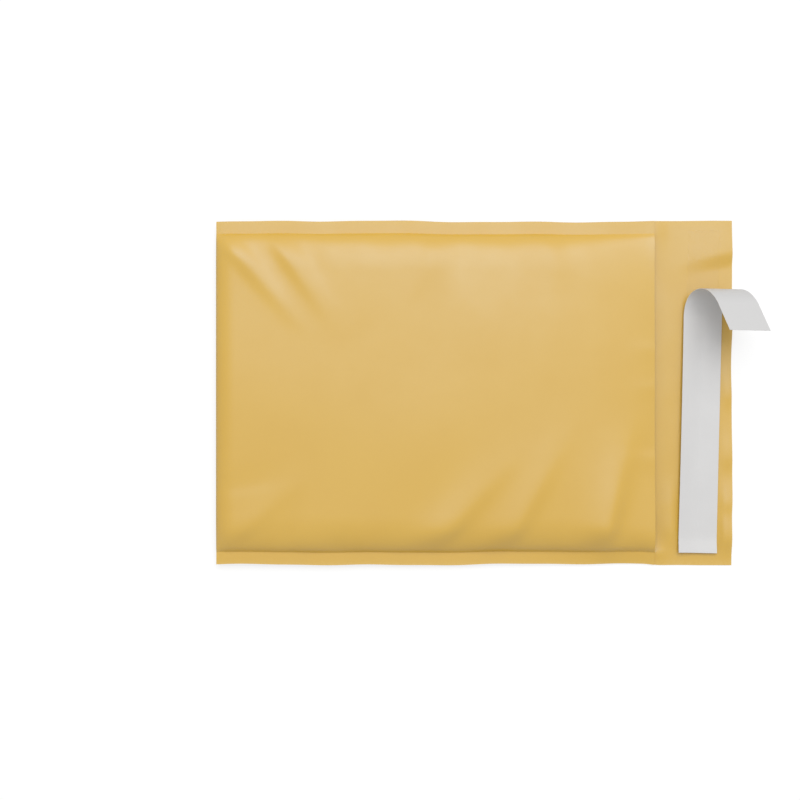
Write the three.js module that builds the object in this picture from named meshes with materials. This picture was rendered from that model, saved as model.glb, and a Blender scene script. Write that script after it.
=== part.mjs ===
// Padded mailing envelope, lying seal side up: a kraft pocket folded from one sheet, with a bubble
// film lining, and a lip that carries an adhesive band under a half-peeled release liner.
// Millimetres. X runs from the fold to the lip, Y across the side seals, Z up from the table.
import * as THREE from "three";
import { ParametricGeometry } from "three/addons/geometries/ParametricGeometry.js";
import { mergeGeometries, mergeVertices } from "three/addons/utils/BufferGeometryUtils.js";

// Kraft sheet
const MAILER_WIDTH = 216;
const POCKET_LENGTH = 274;
const LIP_LENGTH = 49;
const PAPER = 0.35;
const SEAL_WIDTH = 8;
const SEAL_FOLD_HEIGHT = 4.2; // underside of the side seals above the table at the closed end
const SEAL_MOUTH_HEIGHT = 1.4; // and at the mouth
const LIP_SETTLE = 14; // length over which the lip comes down flat past the mouth

// Form of the filled-out pocket
const POCKET_GAP = 4.6; // clear height between the facing bubbles at the mouth
const PANEL_CROWN = 1.6; // how much the upper panel swells in its middle
const SHOULDER = 24; // distance in from a side seal at which the panel is level
const SHOULDER_POWER = 2.7;
const FOLD_REACH = 12; // length of the rounded fold at the closed end

// Soft puckers along the side seals and creases drawn in from the closed end
const PUCKER_PITCH = 57;
const PUCKER_HEIGHT = 0.8;
const PUCKER_SHIFT = 9; // how far the puckers of one seal are set along from the other's
const CREASE_HEIGHT = 1.3;
const CREASE_WIDTH = 11;
const CREASE_LENGTH = 75;
const CREASE_FROM_FOLD = 48;
const CREASE_FROM_SEAL = 42;
const CREASE_ANGLE = 38; // degrees from the X axis

// Slanting ridges that one side seal draws up in the upper panel
const RIDGE_WIDTH = 12; // reach of the gentle flank, toward the closed end
const RIDGE_STEEP_WIDTH = 7.5; // reach of the other
const RIDGE_SPREAD = 0.4; // how much wider a ridge is where it runs out
const RIDGE_LENGTH = 100;
const RIDGE_RAMP = 13; // distance in from the seal at which a ridge has its full height
const REAR_RIDGE_FROM_MOUTH = 143;
const REAR_RIDGE_ANGLE = 49; // degrees from the seal
const REAR_RIDGE_HEIGHT = 3.4;
const MIDDLE_RIDGE_FROM_MOUTH = 97;
const MIDDLE_RIDGE_ANGLE = 62;
const MIDDLE_RIDGE_HEIGHT = 3.2;
const FRONT_RIDGE_FROM_MOUTH = 33.5;
const FRONT_RIDGE_ANGLE = 80;
const FRONT_RIDGE_HEIGHT = 3.4;

// Bubble film lining
const FILM = 0.4;
const BUBBLE_HEIGHT = 2.3;
const BUBBLE_PITCH = 14;
const BUBBLE_CLEAR = 0.5; // least clear height between films where the walls draw together
const LINING_GAP = 0.3; // between the paper and the film bonded to it
const LINING_MOUTH_INSET = 1;
const LINING_FOLD_INSET = 1.5; // how far the film stands off the crease inside the paper's fold

// Adhesive band and release liner on the lip
const ADHESIVE_WIDTH = 20;
const ADHESIVE_LENGTH = 200;
const ADHESIVE_THICKNESS = 0.15;
const ADHESIVE_START = 2; // from the liner's stuck end
const LINER_WIDTH = 24.2;
const LINER_THICKNESS = 0.2;
const LINER_STUCK = 148; // length still stuck down
const LINER_TAIL = 19; // straight free end after the curl
const CURL_RADIUS = 16;
const CURL_TURN = 155; // degrees
const CURL_DRIFT = 0.285; // sideways drift for each millimetre of peeled length
const CURL_DRIFT_START = 12; // peeled length over which the drift sets in
const LINER_SKEW = 1.3; // degrees off square with the lip
const LINER_FROM_LIP_EDGE = 21.4; // lip edge to the liner's middle at its stuck end
const LINER_FROM_SIDE = 8; // side edge to the liner's stuck end

// Facets
const FOLD_STEPS = 5;
const POCKET_STEPS = 23;
const SHOULDER_STEPS = 6;
const SHOULDER_SPACING = 1.3; // power that sets the shoulder's facets closer together at the seal
const MIDDLE_STEPS = 11;
const LIP_STEPS = [0, 0.3, 0.65, 1]; // shares of the settling length
const FILM_STEPS = 9;
const FILM_MIDDLE_STEPS = 4;
const STUCK_STEPS = 2;
const CURL_STEPS = 18;
const TAIL_STEPS = 4;
const EDGE_SHARE = 0.4; // least room at a film edge, as a share of the bubble pattern's spacing
const WELD = 1e-4;

const TOP = 1;
const BOTTOM = -1;

// Places worked out from the sizes above
const foldX = -(POCKET_LENGTH + LIP_LENGTH) / 2;
const mouthX = foldX + POCKET_LENGTH;
const lipX = mouthX + LIP_LENGTH;
const edgeY = MAILER_WIDTH / 2;
const sealY = edgeY - SEAL_WIDTH;
const wallDepth = PAPER + LINING_GAP + FILM;
const pocketHeight = 2 * (wallDepth + BUBBLE_HEIGHT) + POCKET_GAP;
const swell = pocketHeight - 2 * PAPER; // what the walls part between the seals and the level middle
const filmRoom = (2 * (LINING_GAP + FILM) + BUBBLE_CLEAR) / swell;
const liningY = sealY - SHOULDER * (1 - (1 - filmRoom) ** (1 / SHOULDER_POWER));
const liningX = mouthX - LINING_MOUTH_INSET;

const radians = THREE.MathUtils.degToRad;
const clamp = THREE.MathUtils.clamp;
const smoothstep = THREE.MathUtils.smoothstep;

// Share of the full height at a distance in from the side seals: none at the seal, all past the shoulder.
function shoulderShare(y) {
  const inward = clamp((sealY - Math.abs(y)) / SHOULDER, 0, 1);
  return 1 - (1 - inward) ** SHOULDER_POWER;
}

// Height of the underside of the seals: lower toward the mouth, and down on the table along the lip.
function sealHeight(x) {
  const settled = 1 - smoothstep(x, mouthX, mouthX + LIP_SETTLE);
  const behindMouth = Math.max(mouthX - x, 0) / POCKET_LENGTH;
  return SEAL_MOUTH_HEIGHT * settled + (SEAL_FOLD_HEIGHT - SEAL_MOUTH_HEIGHT) * behindMouth;
}

// Height of the outer face of the lower panel and the lip, level on the table and drawn up to the seals.
function lowerHeight(x, y) {
  return sealHeight(x) * (1 - shoulderShare(y));
}

// Height of the outer face of the upper panel: a shoulder at each seal and a low crown between.
function upperHeight(x, y) {
  const across = clamp(y / sealY, -1, 1);
  const along = Math.sin((Math.PI * (x - foldX)) / POCKET_LENGTH);
  const crown = PANEL_CROWN * (1 - across * across) * Math.max(along, 0);
  return sealHeight(x) + 2 * PAPER + (swell - sealHeight(x)) * shoulderShare(y) + crown;
}

// Height at which the two panels meet round the fold.
function foldHeight(y) {
  return (upperHeight(foldX, y) + lowerHeight(foldX, y)) / 2;
}

// Distances along and across a slanting line from a point of it.
function slanted(fromX, fromY, degrees) {
  const slant = radians(degrees);
  const along = fromX * Math.cos(slant) + fromY * Math.sin(slant);
  const across = fromY * Math.cos(slant) - fromX * Math.sin(slant);
  return { along, across };
}

const bell = (distance, width) => Math.exp(-((distance / width) ** 2));

// Small puckers in the shoulders.
function puckers(x, y) {
  const share = shoulderShare(y);
  const along = mouthX - x + (y > 0 ? PUCKER_SHIFT : 0);
  const wave = 1 + Math.cos((2 * Math.PI * along) / PUCKER_PITCH);
  return PUCKER_HEIGHT * wave * 2 * share * (1 - share);
}

// A slanting crease at each corner of the closed end.
function cornerCreases(x, y) {
  const fromX = x - (foldX + CREASE_FROM_FOLD);
  const fromY = sealY - CREASE_FROM_SEAL - Math.abs(y);
  const { along, across } = slanted(fromX, fromY, CREASE_ANGLE);
  const fade = Math.cos(Math.PI * clamp(along / CREASE_LENGTH, -0.5, 0.5)) ** 2;
  return CREASE_HEIGHT * shoulderShare(y) * fade * bell(across, CREASE_WIDTH);
}

// Slanting ridges that rise from one seal, widen and run out toward the middle.
function ridges(x, y) {
  const ridge = (fromMouth, angle, height) => {
    const { along, across } = slanted(x - mouthX + fromMouth, y + sealY, angle);
    const run = clamp(along / RIDGE_LENGTH, 0, 1);
    const width = across < 0 ? RIDGE_STEEP_WIDTH : RIDGE_WIDTH;
    return height * (1 - smoothstep(run, 0, 1)) * bell(across, width * (1 + RIDGE_SPREAD * run));
  };
  const all =
    ridge(REAR_RIDGE_FROM_MOUTH, REAR_RIDGE_ANGLE, REAR_RIDGE_HEIGHT) +
    ridge(MIDDLE_RIDGE_FROM_MOUTH, MIDDLE_RIDGE_ANGLE, MIDDLE_RIDGE_HEIGHT) +
    ridge(FRONT_RIDGE_FROM_MOUTH, FRONT_RIDGE_ANGLE, FRONT_RIDGE_HEIGHT);
  return all * smoothstep(sealY - Math.abs(y), 0, RIDGE_RAMP);
}

// Outward swelling of the paper alone.
function softFolds(x, y) {
  return puckers(x, y) + cornerCreases(x, y) + ridges(x, y);
}

// Stations from the fold to an end of the pocket: round the fold by angle, then straight on.
function pocketStations(endX, straightSteps) {
  const stations = [];
  for (let i = 0; i <= FOLD_STEPS; i++) {
    const turn = ((i / FOLD_STEPS) * Math.PI) / 2;
    const lean = Math.cos(turn);
    stations.push({ x: foldX + FOLD_REACH * (1 - lean), lean, part: Math.sin(turn) });
  }
  const straightX = foldX + FOLD_REACH;
  for (let i = 1; i <= straightSteps; i++) {
    stations.push({ x: straightX + ((endX - straightX) * i) / straightSteps, lean: 0, part: 1 });
  }
  return stations;
}

// Point of a pocket wall, a depth in from its outer face, and set back further from the fold.
function wallPoint(side, station, y, depth, setBack = 0) {
  const middle = foldHeight(y);
  const half = side === TOP ? upperHeight(station.x, y) - middle : middle - lowerHeight(station.x, y);
  const z = middle + side * (half - depth) * station.part;
  return new THREE.Vector3(station.x + (depth + setBack) * station.lean, y, z);
}

// Point of the paper, whose upper panel also has the soft folds.
function paperPoint(side, station, y, depth) {
  const point = wallPoint(side, station, y, depth);
  if (side === TOP) point.z += softFolds(station.x, y) * station.part;
  return point;
}

// Stations across a panel, close together on the shoulders and wide in the level middle.
function acrossStations(endY, middleSteps) {
  const levelY = sealY - SHOULDER;
  const half = [];
  for (let i = 0; i < SHOULDER_STEPS; i++) {
    half.push(sealY - SHOULDER * (i / SHOULDER_STEPS) ** SHOULDER_SPACING);
  }
  const shoulder = [endY, ...half.filter((y) => y < endY)];
  const middle = [];
  for (let i = 0; i <= middleSteps; i++) middle.push(levelY * ((2 * i) / middleSteps - 1));
  return [...shoulder.map((y) => -y), ...middle, ...shoulder.reverse()];
}

// Grid of points over two lists of stations, facing along list one cross list two.
function gridOver(first, second, pointAt) {
  const place = (u, v, target) => {
    const one = first[Math.round(u * (first.length - 1))];
    const two = second[Math.round(v * (second.length - 1))];
    target.copy(pointAt(one, two));
  };
  return new ParametricGeometry(place, first.length - 1, second.length - 1);
}

// Patches welded into one closed geometry, without the facets that collapse where patches taper out.
function weld(patches) {
  for (const patch of patches) {
    patch.deleteAttribute("normal");
    patch.deleteAttribute("uv");
  }
  const welded = mergeVertices(mergeGeometries(patches), WELD);
  const kept = [];
  for (let i = 0; i < welded.index.count; i += 3) {
    const [a, b, c] = [0, 1, 2].map((corner) => welded.index.getX(i + corner));
    if (a !== b && b !== c && c !== a) kept.push(a, b, c);
  }
  welded.setIndex(kept);
  welded.computeVertexNormals();
  return welded;
}

// The folded sheet: both panels of the pocket, the sealed side bands and the lip past the mouth.
function kraftPouchGeometry() {
  const pocket = pocketStations(mouthX, POCKET_STEPS);
  const mouth = pocket[pocket.length - 1];
  const lip = LIP_STEPS.map((share) => mouthX + LIP_SETTLE * share);
  lip.push(lipX);
  const inside = acrossStations(sealY, MIDDLE_STEPS);
  const whole = [-edgeY, ...inside, edgeY];
  const underside = [0, PAPER];
  const topside = [PAPER, 0];
  const lipPoint = (x, y, height) => new THREE.Vector3(x, y, lowerHeight(x, y) + height);
  const cutEdge = (across) => gridOver(across, topside, (y, depth) => paperPoint(TOP, mouth, y, depth));
  const patches = [
    gridOver(pocket, whole, (station, y) => paperPoint(TOP, station, y, 0)),
    gridOver(whole, pocket, (y, station) => paperPoint(BOTTOM, station, y, 0)),
    gridOver(inside, pocket, (y, station) => paperPoint(TOP, station, y, PAPER)),
    gridOver(pocket, inside, (station, y) => paperPoint(BOTTOM, station, y, PAPER)),
    gridOver(lip, whole, (x, y) => lipPoint(x, y, PAPER)),
    gridOver(whole, lip, (y, x) => lipPoint(x, y, 0)),
    gridOver(whole, underside, (y, height) => lipPoint(lipX, y, height)),
    cutEdge([-edgeY, -sealY]),
    cutEdge(inside),
    cutEdge([sealY, edgeY]),
    gridOver(pocket, underside, (station, depth) => paperPoint(BOTTOM, station, -edgeY, depth)),
    gridOver(pocket, topside, (station, depth) => paperPoint(TOP, station, -edgeY, depth)),
    gridOver(lip, underside, (x, height) => lipPoint(x, -edgeY, height)),
    gridOver(underside, pocket, (depth, station) => paperPoint(BOTTOM, station, edgeY, depth)),
    gridOver(topside, pocket, (depth, station) => paperPoint(TOP, station, edgeY, depth)),
    gridOver(underside, lip, (height, x) => lipPoint(x, edgeY, height)),
  ];
  return weld(patches);
}

// Triangles between two rows of points, each sorted by its key, facing along row one cross row two.
function zipRows(one, two) {
  const triangles = [];
  let i = 0;
  let j = 0;
  while (i < one.length - 1 || j < two.length - 1) {
    const stepOne = i < one.length - 1 ? one[i].key + one[i + 1].key : Infinity;
    const stepTwo = j < two.length - 1 ? two[j].key + two[j + 1].key : Infinity;
    if (stepOne <= stepTwo) {
      triangles.push(one[i].point, one[i + 1].point, two[j].point);
      i += 1;
    } else {
      triangles.push(one[i].point, two[j + 1].point, two[j].point);
      j += 1;
    }
  }
  return triangles;
}

// Height of a bubble, pressed flatter where the walls draw together.
function bubbleHeight(x, y) {
  const room = upperHeight(x, y) - lowerHeight(x, y) - 2 * wallDepth - BUBBLE_CLEAR;
  return clamp(room / 2, 0, BUBBLE_HEIGHT);
}

// The folded bubble film: smooth toward the paper, bubbles in a triangular pattern toward the pocket.
// Every third point of the pattern is the top of a bubble, and the points round it are its foot.
function bubbleLiningGeometry() {
  const spacing = BUBBLE_PITCH / Math.sqrt(3);
  const straight = liningX - foldX - FOLD_REACH;
  const rowCount = Math.max(2, Math.round(straight / (BUBBLE_PITCH / 2)));
  const stations = pocketStations(liningX, rowCount);
  const path = [
    ...stations.slice(1).reverse().map((station) => ({ station, side: TOP })),
    ...stations.map((station) => ({ station, side: BOTTOM })),
  ];
  path.forEach((place, key) => Object.assign(place, { key }));

  const filmPoint = ({ station, side }, y, depth) =>
    ({ key: y, point: wallPoint(side, station, y, depth, LINING_FOLD_INSET) });

  const bubbleRow = (place) => {
    const { station, key } = place;
    const shift = (key % 2) / 2;
    const bare = station.part < 1 || station.x === liningX;
    const reach = Math.floor(liningY / spacing - EDGE_SHARE - shift);
    const row = [filmPoint(place, -liningY, wallDepth)];
    for (let n = -reach - 2 * shift; n <= reach; n++) {
      const y = spacing * (n + shift);
      const top = !bare && THREE.MathUtils.euclideanModulo(n - 2 * shift, 3) === 0;
      const rise = top ? bubbleHeight(station.x, y) : 0;
      row.push(filmPoint(place, y, wallDepth + rise));
    }
    row.push(filmPoint(place, liningY, wallDepth));
    return row;
  };

  const filmAcross = acrossStations(liningY, FILM_MIDDLE_STEPS);
  const filmRow = (place) => filmAcross.map((y) => filmPoint(place, y, PAPER + LINING_GAP));

  const stride = Math.ceil(rowCount / FILM_STEPS);
  const last = path.length - 1;
  const inTheFold = ({ station }) => station.x <= foldX + FOLD_REACH;
  const coarse = path.filter((p) => inTheFold(p) || p.key % stride === 0 || p.key === last);
  const inner = path.map(bubbleRow);
  const outer = coarse.map(filmRow);

  const triangles = [];
  for (let i = 1; i < inner.length; i++) triangles.push(...zipRows(inner[i], inner[i - 1]));
  for (let i = 1; i < outer.length; i++) triangles.push(...zipRows(outer[i - 1], outer[i]));
  triangles.push(...zipRows(inner[0], outer[0]));
  triangles.push(...zipRows(outer[outer.length - 1], inner[inner.length - 1]));
  const sideOf = (rows, places, end) =>
    rows.map((row, i) => ({ key: places[i].key, point: row.at(end).point }));
  triangles.push(...zipRows(sideOf(inner, path, -1), sideOf(outer, coarse, -1)));
  triangles.push(...zipRows(sideOf(outer, coarse, 0), sideOf(inner, path, 0)));

  const welded = mergeVertices(new THREE.BufferGeometry().setFromPoints(triangles), WELD);
  welded.computeVertexNormals();
  return welded;
}

// The liner's middle line from its stuck end: flat, then a curl that drifts sideways, then a straight tail.
// Each place has the point and the direction across the paper's thickness.
function linerPlaces() {
  const places = [];
  const turned = radians(CURL_TURN);
  const drift = (peeled) => {
    const onset = Math.min(peeled, CURL_DRIFT_START);
    return CURL_DRIFT * ((onset * onset) / (2 * CURL_DRIFT_START) + peeled - onset);
  };
  const place = (x, y, z, turn) => {
    const across = new THREE.Vector3(0, -Math.sin(turn), Math.cos(turn));
    places.push({ at: new THREE.Vector3(x, y, z), across });
  };
  for (let i = 0; i < STUCK_STEPS; i++) place(0, (LINER_STUCK * i) / STUCK_STEPS, 0, 0);
  for (let i = 0; i <= CURL_STEPS; i++) {
    const turn = (turned * i) / CURL_STEPS;
    const y = LINER_STUCK + CURL_RADIUS * Math.sin(turn);
    place(drift(CURL_RADIUS * turn), y, CURL_RADIUS * (1 - Math.cos(turn)), turn);
  }
  const curled = places[places.length - 1].at;
  for (let i = 1; i <= TAIL_STEPS; i++) {
    const run = (LINER_TAIL * i) / TAIL_STEPS;
    const x = drift(CURL_RADIUS * turned + run);
    place(x, curled.y + run * Math.cos(turned), curled.z + run * Math.sin(turned), turned);
  }
  return places;
}

// The liner as a thin band along its middle line, its underside at height zero where it is stuck.
function releaseLinerGeometry() {
  const places = linerPlaces();
  const half = LINER_WIDTH / 2;
  const section = [[-half, 0], [half, 0], [half, LINER_THICKNESS], [-half, LINER_THICKNESS], [-half, 0]];
  const corner = ({ at, across }, [x, depth]) => at.clone().addScaledVector(across, depth).setX(at.x + x);
  const sides = [-half, half];
  const faces = [0, LINER_THICKNESS];
  return weld([
    gridOver(places, section, corner),
    gridOver(sides, faces, (x, depth) => corner(places[0], [x, depth])),
    gridOver(faces, sides, (depth, x) => corner(places[places.length - 1], [x, depth])),
  ]);
}

const finish = (color, roughness) => new THREE.MeshStandardMaterial({ color, roughness, metalness: 0 });

function namedMesh(name, geometry, material) {
  const mesh = new THREE.Mesh(geometry, material);
  mesh.name = name;
  return mesh;
}

const kraft = finish(0xdfbe75, 0.55);
const bubbleFilm = finish(0xe4e8ea, 0.25);
const hotMelt = finish(0xe6d8b0, 0.2);
const siliconePaper = finish(0xd8d7d6, 0.5);

// The adhesive and the liner share a group turned a little off square with the lip.
const sealStrip = new THREE.Group();
sealStrip.position.set(lipX - LINER_FROM_LIP_EDGE, LINER_FROM_SIDE - edgeY, PAPER);
sealStrip.rotation.z = -radians(LINER_SKEW);

const adhesiveBox = new THREE.BoxGeometry(ADHESIVE_WIDTH, ADHESIVE_LENGTH, ADHESIVE_THICKNESS);
const adhesive = namedMesh("adhesive_strip", adhesiveBox, hotMelt);
adhesive.position.set(0, ADHESIVE_START + ADHESIVE_LENGTH / 2, ADHESIVE_THICKNESS / 2);

const liner = namedMesh("release_liner", releaseLinerGeometry(), siliconePaper);
liner.position.z = ADHESIVE_THICKNESS;
sealStrip.add(adhesive, liner);

const mailer = new THREE.Group();
mailer.add(
  namedMesh("kraft_pouch", kraftPouchGeometry(), kraft),
  namedMesh("bubble_lining", bubbleLiningGeometry(), bubbleFilm),
  sealStrip,
);

export default mailer;
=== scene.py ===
import bpy
import numpy as np
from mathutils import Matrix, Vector


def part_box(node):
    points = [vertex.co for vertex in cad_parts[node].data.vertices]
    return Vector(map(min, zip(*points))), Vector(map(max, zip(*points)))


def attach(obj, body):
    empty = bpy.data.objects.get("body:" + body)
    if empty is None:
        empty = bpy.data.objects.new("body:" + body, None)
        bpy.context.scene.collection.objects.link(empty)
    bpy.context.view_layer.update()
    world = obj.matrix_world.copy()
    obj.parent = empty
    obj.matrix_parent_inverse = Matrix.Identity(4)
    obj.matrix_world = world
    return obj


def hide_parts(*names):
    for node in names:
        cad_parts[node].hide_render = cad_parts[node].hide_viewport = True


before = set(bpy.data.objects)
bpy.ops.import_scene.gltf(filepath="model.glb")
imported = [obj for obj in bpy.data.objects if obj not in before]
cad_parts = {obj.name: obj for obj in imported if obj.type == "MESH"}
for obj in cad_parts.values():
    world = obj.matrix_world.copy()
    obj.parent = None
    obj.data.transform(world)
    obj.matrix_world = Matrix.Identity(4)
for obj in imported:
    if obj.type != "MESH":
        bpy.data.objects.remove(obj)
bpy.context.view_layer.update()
mm = 0.001  # shapes are worked out in millimetres and put into meshes in metres
print("frame loaded:", ", ".join(sorted(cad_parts)))


# Curves that the shapes are made of

def smoothStep(low, high, value):
    # 0 below low, 1 above high, and between them an S: three squares of the share less two cubes
    share = np.clip((value - low) / (high - low), 0, 1)
    return share * share * (3 - 2 * share)


def bell(value, width):
    # 1 at zero, falling off on both sides as e to the minus square of the distance in widths
    return np.exp(-(value / width) ** 2)


def hump(share):
    # 0 at both ends of a share and 1 in its middle, as a parabola
    return 4 * share * (1 - share)


def ripples(waves, along, phase):
    # sum of sines given by height and length; the phase counts once in the first, twice in the second
    total = 0
    for turn, (height, length) in enumerate(waves, 1):
        total = total + height * np.sin(along / length + turn * phase)
    return total


# Mesh helpers

def sheetFaces(rows, columns):
    # quads of a closed sheet: a front grid, a back grid behind it, and a rim all round
    front = np.arange(rows * columns).reshape(rows, columns)
    back = front + rows * columns

    def quads(a, b, c, d):
        return np.stack([a, b, c, d], axis=-1).reshape(-1, 4)

    facing = quads(front[:-1, :-1], front[:-1, 1:], front[1:, 1:], front[1:, :-1])
    behind = quads(back[:-1, :-1], back[1:, :-1], back[1:, 1:], back[:-1, 1:])
    ring = np.concatenate([front[0, :-1], front[:-1, -1], front[-1, :0:-1], front[:0:-1, 0]])
    after = np.roll(ring, -1)
    rim = quads(after, ring, ring + rows * columns, after + rows * columns)
    return np.concatenate([facing, behind, rim])


def sheetObject(name, front, back, material, hardEdge, marks=None):
    # closed sheet between two grids of points in millimetres; an edge sharper than hardEdge, in degrees,
    # is left hard, and marks are named values for the points of both grids
    rows, columns = front.shape[:2]
    points = np.concatenate([front.reshape(-1, 3), back.reshape(-1, 3)]) * mm
    mesh = bpy.data.meshes.new(name)
    mesh.from_pydata(points.tolist(), [], sheetFaces(rows, columns).tolist())
    mesh.shade_smooth()
    mesh.set_sharp_from_angle(angle=np.radians(hardEdge))
    mesh.materials.append(material)
    for label, pair in (marks or {}).items():
        values = np.stack(pair).astype(np.float32)
        mesh.attributes.new(label, "FLOAT", "POINT").data.foreach_set("value", values.ravel())
    piece = bpy.data.objects.new(name, mesh)
    bpy.context.collection.objects.link(piece)
    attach(piece, "root")
    print(f"{name}: {len(mesh.polygons)} faces")
    return piece


# Shader helpers

class Shade:
    # a socket of one node tree; arithmetic on it adds Math nodes
    def __init__(self, tree, socket=None):
        self.tree = tree
        self.socket = socket

    def node(self, kind, settings=None, inputs=None, output=0):
        # any other node: settings are set first, then its sockets get values or links
        made = self.tree.nodes.new(kind)
        for key, value in (settings or {}).items():
            setattr(made, key, value)
        for key, value in (inputs or {}).items():
            if isinstance(value, Shade):
                self.tree.links.new(value.socket, made.inputs[key])
            else:
                made.inputs[key].default_value = value
        return Shade(self.tree, made.outputs[output] if len(made.outputs) else None)

    def maths(self, operation, first, second):
        return self.node("ShaderNodeMath", {"operation": operation}, {0: first, 1: second})

    def __add__(self, other):
        return self.maths("ADD", self, other)

    def __radd__(self, other):
        return self.maths("ADD", other, self)

    def __sub__(self, other):
        return self.maths("SUBTRACT", self, other)

    def __rsub__(self, other):
        return self.maths("SUBTRACT", other, self)

    def __mul__(self, other):
        return self.maths("MULTIPLY", self, other)

    def __rmul__(self, other):
        return self.maths("MULTIPLY", other, self)

    def mixed(self, low, high):
        # colour between two others, with this value as the factor
        return self.node("ShaderNodeMix", {"data_type": "RGBA"}, {0: self, 6: low, 7: high}, output=2)

    def within(self, low, high):
        # 0 below low, 1 above high
        return self.node("ShaderNodeMapRange", {"clamp": True}, {0: self, 1: low, 2: high})


def newMaterial(name):
    # an empty material, and a handle on its node tree
    material = bpy.data.materials.new(name)
    material.use_nodes = True
    tree = material.node_tree
    tree.nodes.clear()
    return material, Shade(tree)


def places(shade, scale=(1, 1, 1), turn=0.0):
    # object coordinates, stretched and turned about the vertical
    coords = shade.node("ShaderNodeTexCoord", output=3)
    return shade.node("ShaderNodeMapping", {}, {0: coords, "Rotation": (0, 0, turn), "Scale": scale})


def noise(shade, where, scale, detail, roughness):
    sockets = {"Vector": where, "Scale": scale, "Detail": detail, "Roughness": roughness}
    return shade.node("ShaderNodeTexNoise", {}, sockets)


def marked(shade, label):
    # a value that the mesh carries for each point
    return shade.node("ShaderNodeAttribute", {"attribute_name": label}, output=2)


def varied(mask, plain, added):
    # a plain value, and what the mask adds to it
    return mask * added + plain


def bumped(shade, height, strength, distance):
    sockets = {"Strength": strength, "Distance": distance, "Height": height}
    return shade.node("ShaderNodeBump", {}, sockets)


def finished(shade, sockets):
    surface = shade.node("ShaderNodeBsdfPrincipled", {}, sockets)
    shade.node("ShaderNodeOutputMaterial", {}, {"Surface": surface})


# Materials. A noise is given by scale, detail and roughness, and its edges are the levels where the mark
# begins and is full; a bump is given by strength and by distance in metres

kraftLook = {
    "paper": (0.713, 0.434, 0.053, 1),
    "dense": (0.689, 0.412, 0.046, 1),  # faint darker clouds in the pulp
    "fibre": (0.574, 0.329, 0.037, 1),
    "rubbed": (0.770, 0.515, 0.135, 1),  # pale fibres at cut and worn edges
    "roughness": 0.38,
    "gloss": 1.0,
    "sheen": (0.24, 0.58, 1.0, 1),  # tint of the satin face's reflection
    "cloud": (38, 4, 0.6),
    "cloudEdges": (0.35, 0.7),
    "cloudShare": 0.6,
    "cloudDull": 0.06,  # what it adds to the roughness
    "fibreStretch": 6,
    "lengthwise": (420, 3, 0.65),
    "lengthwiseTurn": 0.35,
    "lengthwiseEdges": (0.60, 0.76),
    "lengthwiseShare": 0.22,
    "crosswise": (380, 3, 0.65),
    "crosswiseTurn": 0.2,
    "crosswiseEdges": (0.62, 0.78),
    "crosswiseShare": 0.18,
    "scuff": (900, 3, 0.6),  # breaks up the wear
    "scuffEdges": (0.3, 0.7),
    "scuffShare": 0.7,
    "scuffDull": 0.2,
    "tooth": (1500, 2, 0.6),
    "toothShares": (0.6, 0.4),  # of that noise and of the fibres
    "bump": (0.06, 0.0002),
}


def kraftPaper(look):
    # golden kraft: faint cloudy pulp, short fibres both ways, a fine tooth and a satin face
    material, shade = newMaterial("golden_kraft")
    cloud = noise(shade, places(shade), *look["cloud"]).within(*look["cloudEdges"])
    stretch = look["fibreStretch"]
    along = places(shade, (1, stretch, stretch), look["lengthwiseTurn"])
    across = places(shade, (stretch, 1, stretch), look["crosswiseTurn"])
    lengthwise = noise(shade, along, *look["lengthwise"])
    crosswise = noise(shade, across, *look["crosswise"])
    fleck = lengthwise.within(*look["lengthwiseEdges"]) * look["lengthwiseShare"]
    fleck = fleck + crosswise.within(*look["crosswiseEdges"]) * look["crosswiseShare"]
    patches = noise(shade, places(shade), *look["scuff"]).within(*look["scuffEdges"])
    scuff = marked(shade, "rub") * patches
    pulp = (cloud * look["cloudShare"]).mixed(look["paper"], look["dense"])
    flecked = fleck.mixed(pulp, look["fibre"])
    fine, fibrous = look["toothShares"]
    tooth = noise(shade, places(shade), *look["tooth"]) * fine + lengthwise * fibrous
    finished(shade, {
        "Base Color": (scuff * look["scuffShare"]).mixed(flecked, look["rubbed"]),
        "Roughness": cloud * look["cloudDull"] + scuff * look["scuffDull"] + look["roughness"],
        "Specular IOR Level": look["gloss"],
        "Specular Tint": look["sheen"],
        "Normal": bumped(shade, tooth, *look["bump"]),
    })
    return material


linerLook = {
    "paper": (0.662, 0.656, 0.652, 1),
    "dense": (0.634, 0.629, 0.625, 1),
    "coatedAndShaded": (0.590, 0.586, 0.583, 1),  # the siliconed underside; its darker tone is partly painted shade, which keeps the curled tail that shows this face from reading brighter than the flat strip
    "roughness": 0.42,
    "gloss": 0.35,
    "cloud": (60, 4, 0.6),
    "cloudEdges": (0.35, 0.7),
    "cloudShare": 0.5,
    "cloudDull": 0.05,
    "tooth": (1800, 2, 0.6),
    "bump": (0.03, 0.0002),
}


def linerPaper(look):
    # calendered release paper: nearly even, faintly cloudy, with a slight silicone gloss, and an
    # underside darkened partly as painted shade
    material, shade = newMaterial("release_paper")
    cloud = noise(shade, places(shade), *look["cloud"]).within(*look["cloudEdges"])
    tooth = noise(shade, places(shade), *look["tooth"])
    face = (cloud * look["cloudShare"]).mixed(look["paper"], look["dense"])
    finished(shade, {
        "Base Color": marked(shade, "coatedAndShaded").mixed(face, look["coatedAndShaded"]),
        "Roughness": varied(cloud, look["roughness"], look["cloudDull"]),
        "Specular IOR Level": look["gloss"],
        "Normal": bumped(shade, tooth, *look["bump"]),
    })
    return material


filmLook = {
    "film": (0.86, 0.87, 0.88, 1),
    "crease": (260, 4, 0.6),
    "roughness": (0.08, 0.2),  # plain, and what a crease adds, here and in the next line
    "alpha": (0.42, 0.3),
    "bump": (0.12, 0.0004),
}


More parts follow.
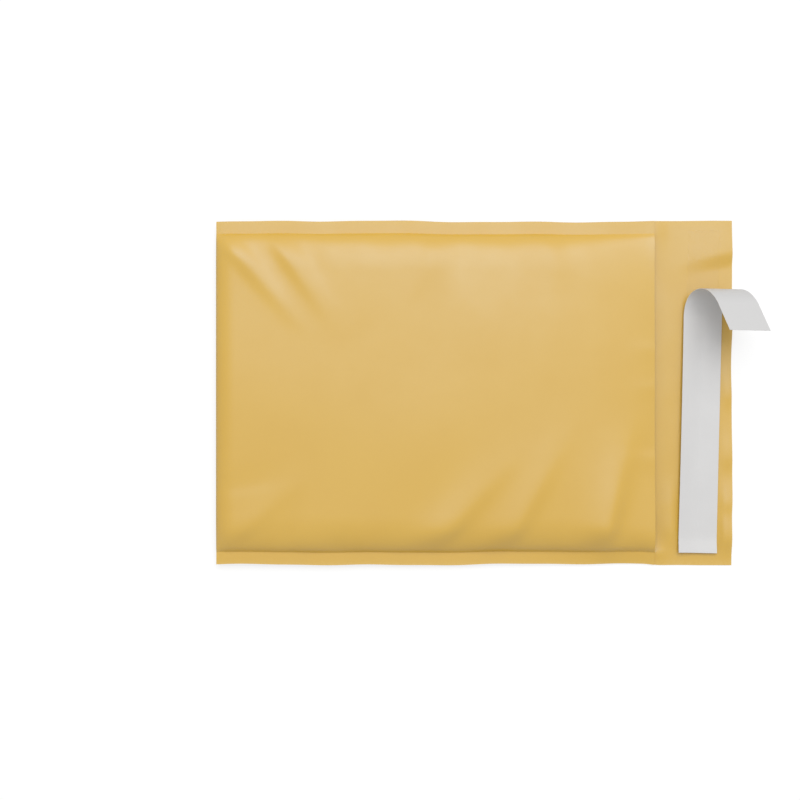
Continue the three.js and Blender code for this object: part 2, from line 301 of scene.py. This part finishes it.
def clearFilm(look):
    # soft clear film: thin, glossy, a little milky where it is creased
    material, shade = newMaterial("bubble_film")
    crease = noise(shade, places(shade), *look["crease"])
    finished(shade, {
        "Base Color": look["film"],
        "Roughness": varied(crease, *look["roughness"]),
        "Alpha": varied(crease, *look["alpha"]),
        "Normal": bumped(shade, crease, *look["bump"]),
    })
    return material


meltLook = {
    "melt": (0.80, 0.62, 0.30, 1),
    "comb": (260, 3, 0.6),
    "combStretch": (8, 1, 1),
    "roughness": (0.2, 0.15),  # plain, and what the combing adds, here and in the next line
    "alpha": (0.01, 0.03),
    "bump": (0.15, 0.0003),
}


def hotMelt(look):
    # clear tacky band, faintly combed along its length
    material, shade = newMaterial("clear_hot_melt")
    comb = noise(shade, places(shade, look["combStretch"]), *look["comb"])
    finished(shade, {
        "Base Color": look["melt"],
        "Roughness": varied(comb, *look["roughness"]),
        "Alpha": varied(comb, *look["alpha"]),
        "Normal": bumped(shade, comb, *look["bump"]),
    })
    return material


kraft = kraftPaper(kraftLook)
release = linerPaper(linerLook)
film = clearFilm(filmLook)
melt = hotMelt(meltLook)
print("materials made")


# Folded kraft sheet. Of its two side seals, the near one (y below 0) lies by the liner's stuck end
# and the far one by its peel

pouch = {
    "paper": 0.35,
    "sealWidth": 8,
    "sealFoldHeight": 4.2,
    "sealMouthHeight": (1.3, 0.8),  # of the near seal and the far one
    "bandTilt": 1.25,  # how far the near seal hangs at its cut edge, by the mouth
    "tiltReach": 110,
    "bandPucker": (82.5, 9, 1.1),  # place, width and height of a gather across the near seal
    "edgeLift": 0.5,  # of the upper panel's end on the seals
    "edgeReach": 4,
    "height": 11.7,
    "crown": 1.6,
    "shoulder": 24,
    "shoulderTuck": 0.7,  # below 1 the paper leaves the seal more steeply
    "shoulderPower": 2.1,
    "mouthReach": 95,  # over which the pocket closes toward the mouth
    "mouthDrop": (4.0, 6.0),  # of the upper panel at the mouth, by the near seal and away from it
    "dropFull": 0.3,  # share of the way from the middle to the near seal, where the second is reached
    "mouthShoulder": (16, 44),  # by the near seal and the far one
    "foldReach": 12,
    "lipSettle": 11,
    "foldRamp": 17,  # from a seal to the full height of a fold
    "foldSteep": 0.52,  # width of a fold's right-hand flank against its left one
    "foldSpread": 0.4,  # how much wider a fold is where it runs out
    "puckers": [(1.0, 6.1), (0.8, 9.7), (0.6, 4.3)],  # along the seals: share and length of each ripple
    "puckerHeight": 0.16,
    "puckerPhase": 1.7,  # of the far seal against the near one
    "slowWaves": [(0.22, 31, 47, 0.4), (0.18, 19, -26, 2.1), (0.14, 53, 15, 4.0)],  # see upperHeight
    "mouthPull": 0.7,  # how far the swell draws the upper panel's edge back
    "pullReach": 80,
    "mouthInset": 1,  # how far the lining stops short of the mouth
    "bond": 0.02,  # hair gap where two sheets are sealed together
    "columns": 112,
    "bandColumns": 5,
    "upperRows": 132,
    "lowerRows": 66,
    "foldRows": 11,
    "lipRows": 30,
    "hardEdge": 24,
}

pouchBox = [tuple(part / mm for part in corner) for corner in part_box("kraft_pouch")]
(foldX, _, _), (lipX, edgeY, _) = pouchBox
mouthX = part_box("bubble_lining")[1][0] / mm + pouch["mouthInset"]
sealY = edgeY - pouch["sealWidth"]
straightX = foldX + pouch["foldReach"]
swell = pouch["height"] - 2 * pouch["paper"]

# Soft folds of the upper panel, drawn in from the seals, corners and mouth:
# root x and y, heading in degrees, length, width, height
upperFolds = [
    (-30.5, -100, 49, 100, 12, 3.4),
    (15.5, -100, 62, 100, 12, 3.2),
    (78.5, -100, 77, 100, 12, 4.2),
    (-120, -100, 75, 48, 9, -0.8),
    (-156, -97, 44, 80, 10, 1.6),
    (-158, -60, 12, 60, 9, -0.5),
    (-158, 98, -48, 95, 9, 1.8),
    (-146, 100, -52, 80, 7, -1.0),
    (-128, 100, -55, 85, 8, 1.6),
    (-112, 100, -58, 60, 7, -0.7),
    (-26, 100, -100, 50, 8, 0.9),
    (-10, 100, -88, 46, 7, -0.8),
    (46, 100, -84, 44, 8, 0.6),
    (113, -40.5, 178, 30, 7, 0.6),
    (113, 4, 182, 24, 6, 0.3),
    (113, 28, 180, 24, 6, 0.3),
]

# The same for the lower panel, which lies on the table and can only dent inward
lowerFolds = [
    (-120, -100, 70, 50, 9, 0.8),
    (-38, -100, 96, 46, 8, 0.9),
    (34, -100, 80, 44, 8, 0.7),
    (-150, 100, -50, 80, 9, 0.9),
    (-62, 100, -80, 44, 8, 0.8),
    (58, 100, -98, 48, 8, 0.8),
]


def softFolds(rows, x, y):
    # each fold is a bell across its line, steeper on the right of its heading, that widens and runs out
    total = np.zeros(np.broadcast(x, y).shape)
    for rootX, rootY, heading, length, width, height in rows:
        angle = np.radians(heading)
        along = ((x - rootX) * np.cos(angle) + (y - rootY) * np.sin(angle)) / length
        across = (y - rootY) * np.cos(angle) - (x - rootX) * np.sin(angle)
        steep = np.where(across < 0, pouch["foldSteep"], 1)
        spread = 1 + pouch["foldSpread"] * np.clip(along, 0, 1)
        total += height * (1 - smoothStep(0, 1, along)) * bell(across, width * steep * spread)
    return total * smoothStep(0, pouch["foldRamp"], sealY - np.abs(y))


def closing(x):
    # 1 at the mouth and past it, and none where the pocket has its full height: the share, squared
    return np.clip(1 - (mouthX - x) / pouch["mouthReach"], 0, 1) ** 2


def shoulderShare(x, y):
    # none of the height at a side seal, all of it past the shoulder, whose width changes toward the mouth
    mouthWidth = np.where(y < 0, *pouch["mouthShoulder"])
    width = pouch["shoulder"] + (mouthWidth - pouch["shoulder"]) * closing(x)
    inward = np.clip((sealY - np.abs(y)) / width, 0, 1)
    return 1 - (1 - inward ** pouch["shoulderTuck"]) ** pouch["shoulderPower"]


def sealRise(x, y):
    # underside of the seals: lower toward the mouth, where the near one hangs outward,
    # and on the table along the lip
    atMouth = np.where(y < 0, *pouch["sealMouthHeight"])
    settled = 1 - smoothStep(mouthX, mouthX + pouch["lipSettle"], x)
    behindMouth = np.clip(mouthX - x, 0, None) / (mouthX - foldX)
    outward = np.clip((-y - sealY) / pouch["sealWidth"], 0, 1)
    tilt = pouch["bandTilt"] * smoothStep(mouthX - pouch["tiltReach"], mouthX, x) * outward
    place, width, height = pouch["bandPucker"]
    pucker = height * bell(x - place, width) * (1 - outward) * (y < 0)
    return (atMouth - tilt) * settled + (pouch["sealFoldHeight"] - atMouth) * behindMouth + pucker


def plainLower(x, y):
    # level on the table, drawn up to the seals
    return sealRise(x, y) * (1 - shoulderShare(x, y))


def lowerHeight(x, y):
    # the same with its folds
    return plainLower(x, y) + softFolds(lowerFolds, x, y)


def plainUpper(x, y):
    # a shoulder at each seal and a low crown between, closing toward the mouth
    across = np.clip(y / sealY, -1, 1)
    along = np.sin(np.pi * np.clip((x - foldX) / (mouthX - foldX), 0, 1))
    crown = pouch["crown"] * (1 - across ** 2) * along
    nearDrop, farDrop = pouch["mouthDrop"]
    drop = nearDrop + (farDrop - nearDrop) * smoothStep(-sealY, -sealY * pouch["dropFull"], y)
    room = swell - sealRise(x, y) - drop * closing(x)
    return sealRise(x, y) + 2 * pouch["paper"] + room * shoulderShare(x, y) + crown


def upperHeight(x, y):
    # the plain form, its folds, small puckers along the seals, a slow unevenness of a few sines,
    # each with a height, a length along x and along y and a phase, and an end that stands off the seals
    share = shoulderShare(x, y)
    phase = np.where(y > 0, pouch["puckerPhase"], 0.0)
    small = pouch["puckerHeight"] * ripples(pouch["puckers"], x, phase) * hump(share)
    for height, lengthX, lengthY, start in pouch["slowWaves"]:
        small = small + height * np.sin(x / lengthX + y / lengthY + start) * share ** 2
    edge = pouch["edgeLift"] * smoothStep(mouthX - pouch["edgeReach"], mouthX, x) * (1 - share)
    return plainUpper(x, y) + softFolds(upperFolds, x, y) + small + edge


liner = {
    "width": 24.2,
    "thickness": 0.2,
    "stuck": 148,
    "tail": 19,
    "radius": 16,
    "turn": 155,
    "drift": 0.387,  # sideways for each millimetre round the curl
    "driftStart": 20,  # over which the drift sets in
    "tailDrift": 0.284,  # the same along the tail
    "skew": 1.3,
    "fromLipEdge": 22.1,
    "fromSide": 8,
    "lift": 0.52,  # underside above the table where it is stuck
    "leftLift": (1.0, 1.0, 1.8),  # of a free edge: at the stuck end, bowed up between, and at the peel
    "rightLift": (0.1, 0.0, 0.6),
    "liftPower": 1.4,
    "liftFade": 20,  # over which these go, past the peel
    "endLift": 1.5,  # the stuck end's own edge
    "endReach": 9,
    "stuckRows": 46,
    "peeledRows": 74,
    "columns": 25,
    "hardEdge": 35,
}

lip = {
    "besideLiner": (-0.5, 5),  # from the liner's edge, over which the lip is free to wave
    "pastPeel": (-4, 24),  # the same along the liner's path
    "reachStart": 6,  # from the mouth, where the waves begin to grow toward the free edge
    "reachPower": 1.2,
    "crestFlanks": (0.8, 1.6),  # widths of a crest's near and far flank against its own width
    "cornerY": 84,  # the far corner stands a little higher from here
    "cornerSlant": 0.2,
    "cornerEase": 5,
    "cornerHeight": 2.0,
}

# Waves of the single-layer lip: crest y at the free edge, slant, width, height there,
# and the share of it between the mouth and the liner
lipCrests = [
    (-0.5, 0.0, 9, 1.1, 0.15),
    (-40, 0.0, 9, 1.1, 0.1),
    (-68, 0.0, 8, 1.3, 0.35),
    (-90, -0.13, 11, 2.7, 0.55),
    (40, 0.1, 10, 1.2, 0.1),
]


def lipHeight(x, y):
    # underside of the lip: down from the seals to the table, with bells for its waves
    # beside the liner and past the peel
    drop = 1 - smoothStep(mouthX, mouthX + pouch["lipSettle"], x)
    level = plainLower(x, y) + softFolds(lowerFolds, x, y) * drop
    alongLiner = y + edgeY - liner["fromSide"]
    offLiner = x - lipX + liner["fromLipEdge"] - alongLiner * np.sin(np.radians(liner["skew"]))
    half = liner["width"] / 2
    beside = smoothStep(*lip["besideLiner"], np.abs(offLiner) - half)
    bare = smoothStep(*lip["pastPeel"], alongLiner - liner["stuck"])
    reach = smoothStep(mouthX + lip["reachStart"], lipX, x) ** lip["reachPower"]
    ahead = smoothStep(-half, half, offLiner)
    waves = 0
    for crest, slant, width, height, behind in lipCrests:
        share = behind * (1 - ahead) + reach * ahead
        across = y - crest - slant * (x - lipX)
        flank = np.where(across < 0, *lip["crestFlanks"])
        waves = waves + height * share * bell(across, width * flank)
    pastCorner = y - lip["cornerY"] - lip["cornerSlant"] * (x - lipX)
    raised = lip["cornerHeight"] * smoothStep(-lip["cornerEase"], lip["cornerEase"], pastCorner) * reach
    return level + (waves + raised) * np.maximum(beside, bare) * (1 - drop)


outline = {
    "sealEnd": (-8, 6),  # about the mouth, where the side seals stop drawing the sheet in
    "drawnIn": (0.9, 0.7),  # at the near side and the far one
    "sidePhase": 2.3,  # of the far side against the near one
    "sealWaver": [(0.3, 13), (0.12, 6.3), (0.3, 31)],  # height and length of each ripple
    "lipWaver": [(0.15, 9)],
    "sidePower": 5,  # so that only the outermost part of the sheet moves
    "endReach": 14,
    "endInset": 0.3,
    "endWaver": [(0.3, 17, 1.0), (0.12, 7.4, 0.0)],  # along the free edge: height, length and phase
}


def outlined(x, y, z):
    # the sealed sides are drawn in a little and waver as sines, and so does the lip's free edge
    lipPart = smoothStep(*outline["sealEnd"], x - mouthX)
    phase = np.where(y > 0, outline["sidePhase"], 0.0)
    sealed = np.where(y < 0, *outline["drawnIn"]) + ripples(outline["sealWaver"], x, phase)
    drawn = sealed * (1 - lipPart) + ripples(outline["lipWaver"], x, phase) * lipPart
    newY = y - np.sign(y) * np.clip(drawn, 0, None) * (np.abs(y) / edgeY) ** outline["sidePower"]
    inset = outline["endInset"]
    for height, length, start in outline["endWaver"]:
        inset = inset + height * np.sin(y / length + start)
    newX = x - smoothStep(lipX - outline["endReach"], lipX, x) * inset
    return np.stack([newX, newY, z], axis=-1)


def acrossStations():
    # even steps between the seals, with a station on each seal line, and a few over the seal bands
    inside = np.linspace(-sealY, sealY, pouch["columns"])
    band = np.linspace(sealY, edgeY, pouch["bandColumns"])[1:]
    return np.concatenate([-band[::-1], inside, band])


def turnStations(count):
    # round the fold by angle: place along x, how far the wall leans, share of its half height
    turn = np.linspace(np.pi / 2, 0, count)
    return foldX + pouch["foldReach"] * (1 - np.cos(turn)), np.cos(turn), np.sin(turn)


def foldedStations(endX, upperRows, lowerRows, foldRows):
    # along a folded sheet: upper panel from its end, round the fold, then the lower panel
    turnX, turnLean, turnPart = turnStations(foldRows)
    upperX = np.linspace(endX, straightX, upperRows)[:-1]
    lowerX = np.linspace(straightX, endX, lowerRows)[1:]
    x = np.concatenate([upperX, turnX, turnX[-2::-1], lowerX])
    lean = np.concatenate([0 * upperX, turnLean, turnLean[-2::-1], 0 * lowerX])
    part = np.concatenate([0 * upperX + 1, turnPart, turnPart[-2::-1], 0 * lowerX + 1])
    side = np.ones(len(x))
    side[len(upperX) + len(turnX):] = -1
    return [line[:, None] for line in (x, lean, part, side)]


def wallPoints(stations, y, depth, setBack=0.0):
    # points of the folded wall, a depth in from its outer face and set back from the fold
    x, lean, part, side = stations
    x, y = np.broadcast_arrays(x, y[None, :])
    middle = (plainUpper(0 * x + foldX, y) + plainLower(0 * x + foldX, y)) / 2
    half = np.where(side > 0, upperHeight(x, y) - middle, middle - lowerHeight(x, y))
    z = middle + side * (half - depth) * part
    atMouth = smoothStep(mouthX - pouch["pullReach"], mouthX, x) * (side > 0)
    pull = pouch["mouthPull"] * shoulderShare(x, y) * atMouth
    return outlined(x + (depth + setBack) * lean - pull, y, z)


def kraftSheet():
    # one face of the folded sheet and the other a paper's thickness in, both running on into the lip
    stations = foldedStations(mouthX, pouch["upperRows"], pouch["lowerRows"], pouch["foldRows"])
    y = acrossStations()
    lipStations = np.linspace(mouthX, lipX, pouch["lipRows"])[1:, None]
    lipXs, lipYs = np.broadcast_arrays(lipStations, y[None, :])
    under = lipHeight(lipXs, lipYs)
    faces = []
    for depth in (0, pouch["paper"] - pouch["bond"] / 2):
        lipFace = outlined(lipXs, lipYs, under + depth)
        faces.append(np.concatenate([wallPoints(stations, y, depth), lipFace]))
    return faces


wear = {
    "sideInset": 0.8,  # in from the box's side, where the cut edges lie
    "sideWidth": 1.6,
    "foldWidth": 1.2,
    "fold": 0.8,
    "lipEnd": 0.6,
}


def rubbed(points):
    # wear for each point: bells at the cut sides and round the fold, and the last row at the lip's end
    side = bell(edgeY - np.abs(points[..., 1]) - wear["sideInset"], wear["sideWidth"])
    fold = wear["fold"] * bell(points[..., 0] - foldX, wear["foldWidth"])
    lipEnd = np.zeros(points.shape[:2])
    lipEnd[-1] = wear["lipEnd"]
    return np.maximum(np.maximum(side, fold), lipEnd)


outside, inside = kraftSheet()
worn = {"rub": [rubbed(outside)] * 2}
sheet = sheetObject("folded_kraft_sheet", outside, inside, kraft, pouch["hardEdge"], worn)
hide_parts("kraft_pouch")
unfolded = 2 * (mouthX - foldX) + pouch["height"] + lipX - mouthX
unfolded * mm


# Bubble film lining

lining = {
    "film": 0.4,
    "gap": 0.3,  # between the paper and the film
    "roomShare": 0.45,  # most that these two may take of the room between the papers
    "foldInset": 1.5,
    "bubbleHeight": 2.3,
    "bubbleClear": 0.5,  # left between the bubbles of the two walls
    "pitch": 14,
    "bubbleTop": 2.0,  # radius of the rounded top
    "bubbleFoot": 6.1,
    "endClear": 0.2,  # rows of bubbles left off at the film's end
    "pastFold": 0.8,  # and run on into the fold
    "columns": 112,
    "rows": 148,
    "foldRows": 9,
    "hardEdge": 60,
}
liningDepth = pouch["paper"] + lining["gap"] + lining["film"]
liningEndX = mouthX - pouch["mouthInset"]
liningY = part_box("bubble_lining")[1][1] / mm


def wrapped(value, period):
    # distance to the nearest multiple of the period
    return np.abs((value + period / 2) % period - period / 2)


def bubbleRise(x, y):
    # round domes in a triangular pattern, pressed flatter where the walls draw together
    rowCount = round((liningEndX - straightX) / (lining["pitch"] / 2))
    step = (liningEndX - straightX) / rowCount
    wide = lining["pitch"] * np.sqrt(3)
    odd = np.hypot(wrapped(x - straightX - step, 2 * step), wrapped(y, wide))
    even = np.hypot(wrapped(x - straightX, 2 * step), wrapped(y - wide / 2, wide))
    room = plainUpper(x, y) - plainLower(x, y) - 2 * liningDepth - lining["bubbleClear"]
    tall = np.clip(room / 2, 0, lining["bubbleHeight"])
    inReach = (x < liningEndX - step * lining["endClear"]) & (x > straightX - step * lining["pastFold"])
    dome = 1 - smoothStep(lining["bubbleTop"], lining["bubbleFoot"], np.minimum(odd, even))
    return tall * inReach * dome


def liningSheet():
    # the smooth face follows the paper inside, and the other carries the bubbles into the pocket;
    # where the papers draw together the film lies closer to them
    stations = foldedStations(liningEndX, lining["rows"], lining["rows"], lining["foldRows"])
    y = np.linspace(-liningY, liningY, lining["columns"])
    lengthwise, _, part, _ = stations
    x, acrossY = np.broadcast_arrays(lengthwise, y[None, :])
    rise = bubbleRise(x, acrossY) * part
    room = plainUpper(x, acrossY) - plainLower(x, acrossY) - 2 * pouch["paper"]
    thick = lining["gap"] + lining["film"]
    closer = np.minimum(1, lining["roomShare"] * room / thick)
    smooth = wallPoints(stations, y, pouch["paper"] + lining["gap"] * closer, lining["foldInset"])
    bubbled = wallPoints(stations, y, pouch["paper"] + thick * closer + rise, lining["foldInset"])
    return smooth, bubbled


smoothFace, bubbleFace = liningSheet()
bubbles = sheetObject("bubble_film_lining", smoothFace, bubbleFace, film, lining["hardEdge"])
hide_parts("bubble_lining")


# Adhesive band and release liner, in the liner's own frame on the lip

def ontoLip(x, y):
    # from the liner's frame, turned a little off square, to the lip
    skew = np.radians(liner["skew"])
    lipPlaceX = x * np.cos(skew) + y * np.sin(skew) + lipX - liner["fromLipEdge"]
    lipPlaceY = y * np.cos(skew) - x * np.sin(skew) + liner["fromSide"] - edgeY
    return lipPlaceX, lipPlaceY


adhesive = {
    "width": 20,
    "length": 200,
    "start": 2,
    "thickness": 0.15,
    "feather": 2.5,
    "edgeShare": 0.1,  # of the thickness, left at the edges
    "clear": 0.02,
    "rows": 120,
    "columns": 14,
    "hardEdge": 35,
}


def adhesiveBand():
    # a thin band laid over the lip, run out thin at its edges
    x = np.linspace(-0.5, 0.5, adhesive["columns"])[None, :] * adhesive["width"]
    y = np.linspace(adhesive["length"], 0, adhesive["rows"])[:, None] + adhesive["start"]
    x, y = np.broadcast_arrays(x, y)
    side = smoothStep(0, adhesive["feather"], adhesive["width"] / 2 - np.abs(x))
    reach = adhesive["length"] / 2
    ends = smoothStep(0, adhesive["feather"], reach - np.abs(y - adhesive["start"] - reach))
    full = adhesive["edgeShare"] + (1 - adhesive["edgeShare"]) * side * ends
    thick = (adhesive["thickness"] - adhesive["clear"]) * full
    x, y = ontoLip(x, y)
    base = lipHeight(x, y) + pouch["paper"] + adhesive["clear"]
    return [np.stack([x, y, base + rise], axis=-1) for rise in (thick, 0)]


bandTop, bandBase = adhesiveBand()
band = sheetObject("adhesive_band", bandTop[::-1], bandBase[::-1], melt, adhesive["hardEdge"])
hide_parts("adhesive_strip")


def linerSheet():
    # a straight line across the strip carried along a path: flat, round the curl, then straight on,
    # drifting sideways, with the free edges of the stuck part lifted a little
    turned = np.radians(liner["turn"])
    curl = liner["radius"] * turned
    stuck = np.linspace(0, liner["stuck"], liner["stuckRows"])[:-1]
    free = np.linspace(0, curl + liner["tail"], liner["peeledRows"])
    run = np.concatenate([stuck, liner["stuck"] + free])
    peeled = np.clip(run - liner["stuck"], 0, None)
    angle = np.clip(peeled, 0, curl) / liner["radius"]
    tail = np.clip(peeled - curl, 0, None)
    y = np.minimum(run, liner["stuck"]) + liner["radius"] * np.sin(angle) + tail * np.cos(turned)
    z = liner["radius"] * (1 - np.cos(angle)) + tail * np.sin(turned)
    onset = np.minimum(peeled, liner["driftStart"])
    drift = liner["drift"] * (onset ** 2 / (2 * liner["driftStart"]) + peeled - tail - onset)
    drift = drift + liner["tailDrift"] * tail

    across = np.linspace(-0.5, 0.5, liner["columns"])[None, :]
    ending = 1 - smoothStep(liner["stuck"], liner["stuck"] + liner["liftFade"], run)
    share = np.minimum(run / liner["stuck"], 1)
    lift = 0
    for (low, bow, high), edge in ((liner["leftLift"], -across), (liner["rightLift"], across)):
        lifted = (low + (high - low) * share + bow * hump(share)) * ending
        lift = lift + lifted[:, None] * np.clip(2 * edge, 0, 1) ** liner["liftPower"]
    lift = lift + liner["endLift"] * (1 - smoothStep(0, liner["endReach"], run))[:, None]
    x = drift[:, None] + across * liner["width"]
    faces = []
    for depth in (liner["thickness"], 0):
        faceY = (y - depth * np.sin(angle))[:, None] + 0 * x
        faceZ = (z + depth * np.cos(angle))[:, None] + lift + liner["lift"]
        lipPlaceX, lipPlaceY = ontoLip(x, faceY)
        faces.append(np.stack([lipPlaceX, lipPlaceY, faceZ], axis=-1))
    return faces, run[-1]


(linerTop, linerBase), linerLength = linerSheet()
under = np.ones(linerTop.shape[:2])
# the strip's underside gets the darker coated colour, partly painted shade on the curled tail
coatedAndShaded = {"coatedAndShaded": [0 * under, under]}
strip = sheetObject("release_strip", linerTop, linerBase, release, liner["hardEdge"], coatedAndShaded)
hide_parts("release_liner")


# Stage, lights and camera, in metres

stage = {
    "pixel": 0.628 * mm,  # size of a picture point at the table
    "picture": 800,
    "centre": (-0.0469, -0.0043),  # what the middle of the picture looks at
    "lens": 50,
    "sensor": 36,
    "fill": 0.53,
    "keyFrom": (0.15, 1.12, 2.04),
    "keySize": 2.0,
    "keyPower": 38.5,
    "floor": 0.32,
    "floorGlow": 0.71,
    "floorFade": (0.6, 1.6),  # distances over which the floor becomes plain white
    "floorHalf": 4.0,
    "floorDrop": 0.0003,  # a hair below the part
}


def seenDirectly(shade):
    # 1 for camera, glossy and transmission rays
    path = shade.node("ShaderNodeLightPath")
    outputs = path.socket.node.outputs
    names = ("Is Camera Ray", "Is Glossy Ray", "Is Transmission Ray")
    camera, glossy, transmitted = [Shade(shade.tree, outputs[name]) for name in names]
    return (camera + glossy + transmitted).within(0, 1)


def whiteTable():
    # white to the eye, with the shade of the object kept on it
    material, shade = newMaterial("white_table")
    seen = seenDirectly(shade)
    glow = shade.node("ShaderNodeEmission", {}, {"Strength": seen * stage["floorGlow"]})
    paint = shade.node("ShaderNodeBsdfDiffuse", {}, {"Color": (stage["floor"],) * 3 + (1,)})
    both = shade.node("ShaderNodeAddShader", {}, {0: glow, 1: paint})
    coords = shade.node("ShaderNodeTexCoord", output=3)
    away = shade.node("ShaderNodeVectorMath", {"operation": "LENGTH"}, {0: coords}, output=1)
    white = shade.node("ShaderNodeEmission")
    faded = seen * away.within(*stage["floorFade"])
    surface = shade.node("ShaderNodeMixShader", {}, {0: faded, 1: both, 2: white})
    shade.node("ShaderNodeOutputMaterial", {}, {"Surface": surface})
    half = stage["floorHalf"]
    corners = [(-half, -half, 0), (half, -half, 0), (half, half, 0), (-half, half, 0)]
    mesh = bpy.data.meshes.new("table")
    mesh.from_pydata(corners, [], [(0, 1, 2, 3)])
    mesh.materials.append(material)
    table = bpy.data.objects.new("table", mesh)
    table.location.z = -stage["floorDrop"]
    bpy.context.collection.objects.link(table)


def studioWorld():
    # white where it is seen, a plain even fill for everything else
    world = bpy.data.worlds.new("studio")
    bpy.context.scene.world = world
    world.use_nodes = True
    world.node_tree.nodes.clear()
    shade = Shade(world.node_tree)
    seen = seenDirectly(shade)
    level = seen + (1 - seen) * stage["fill"]
    back = shade.node("ShaderNodeBackground", {}, {"Color": (1, 1, 1, 1), "Strength": level})
    shade.node("ShaderNodeOutputWorld", {}, {"Surface": back})


def softbox(name, place, aim, size, power):
    # a square lamp at a place, turned to face another
    light = bpy.data.lights.new(name, "AREA")
    light.shape = "SQUARE"
    light.size = size
    light.energy = power
    lamp = bpy.data.objects.new(name, light)
    lamp.location = place
    lamp.rotation_euler = (Vector(aim) - Vector(place)).to_track_quat("-Z", "Y").to_euler()
    bpy.context.collection.objects.link(lamp)


def overheadCamera():
    # straight down, from the height at which a picture point has its size at the table
    lens = bpy.data.cameras.new("camera")
    lens.lens = stage["lens"]
    lens.sensor_width = stage["sensor"]
    camera = bpy.data.objects.new("camera", lens)
    distance = stage["picture"] * stage["pixel"] * stage["lens"] / stage["sensor"]
    camera.location = (*stage["centre"], distance)
    bpy.context.collection.objects.link(camera)
    bpy.context.scene.camera = camera


whiteTable()
studioWorld()
softbox("key", stage["keyFrom"], (0, 0, 0), stage["keySize"], stage["keyPower"])
overheadCamera()
bpy.context.scene.view_settings.view_transform = "Standard"
print("stage, lights and camera set")
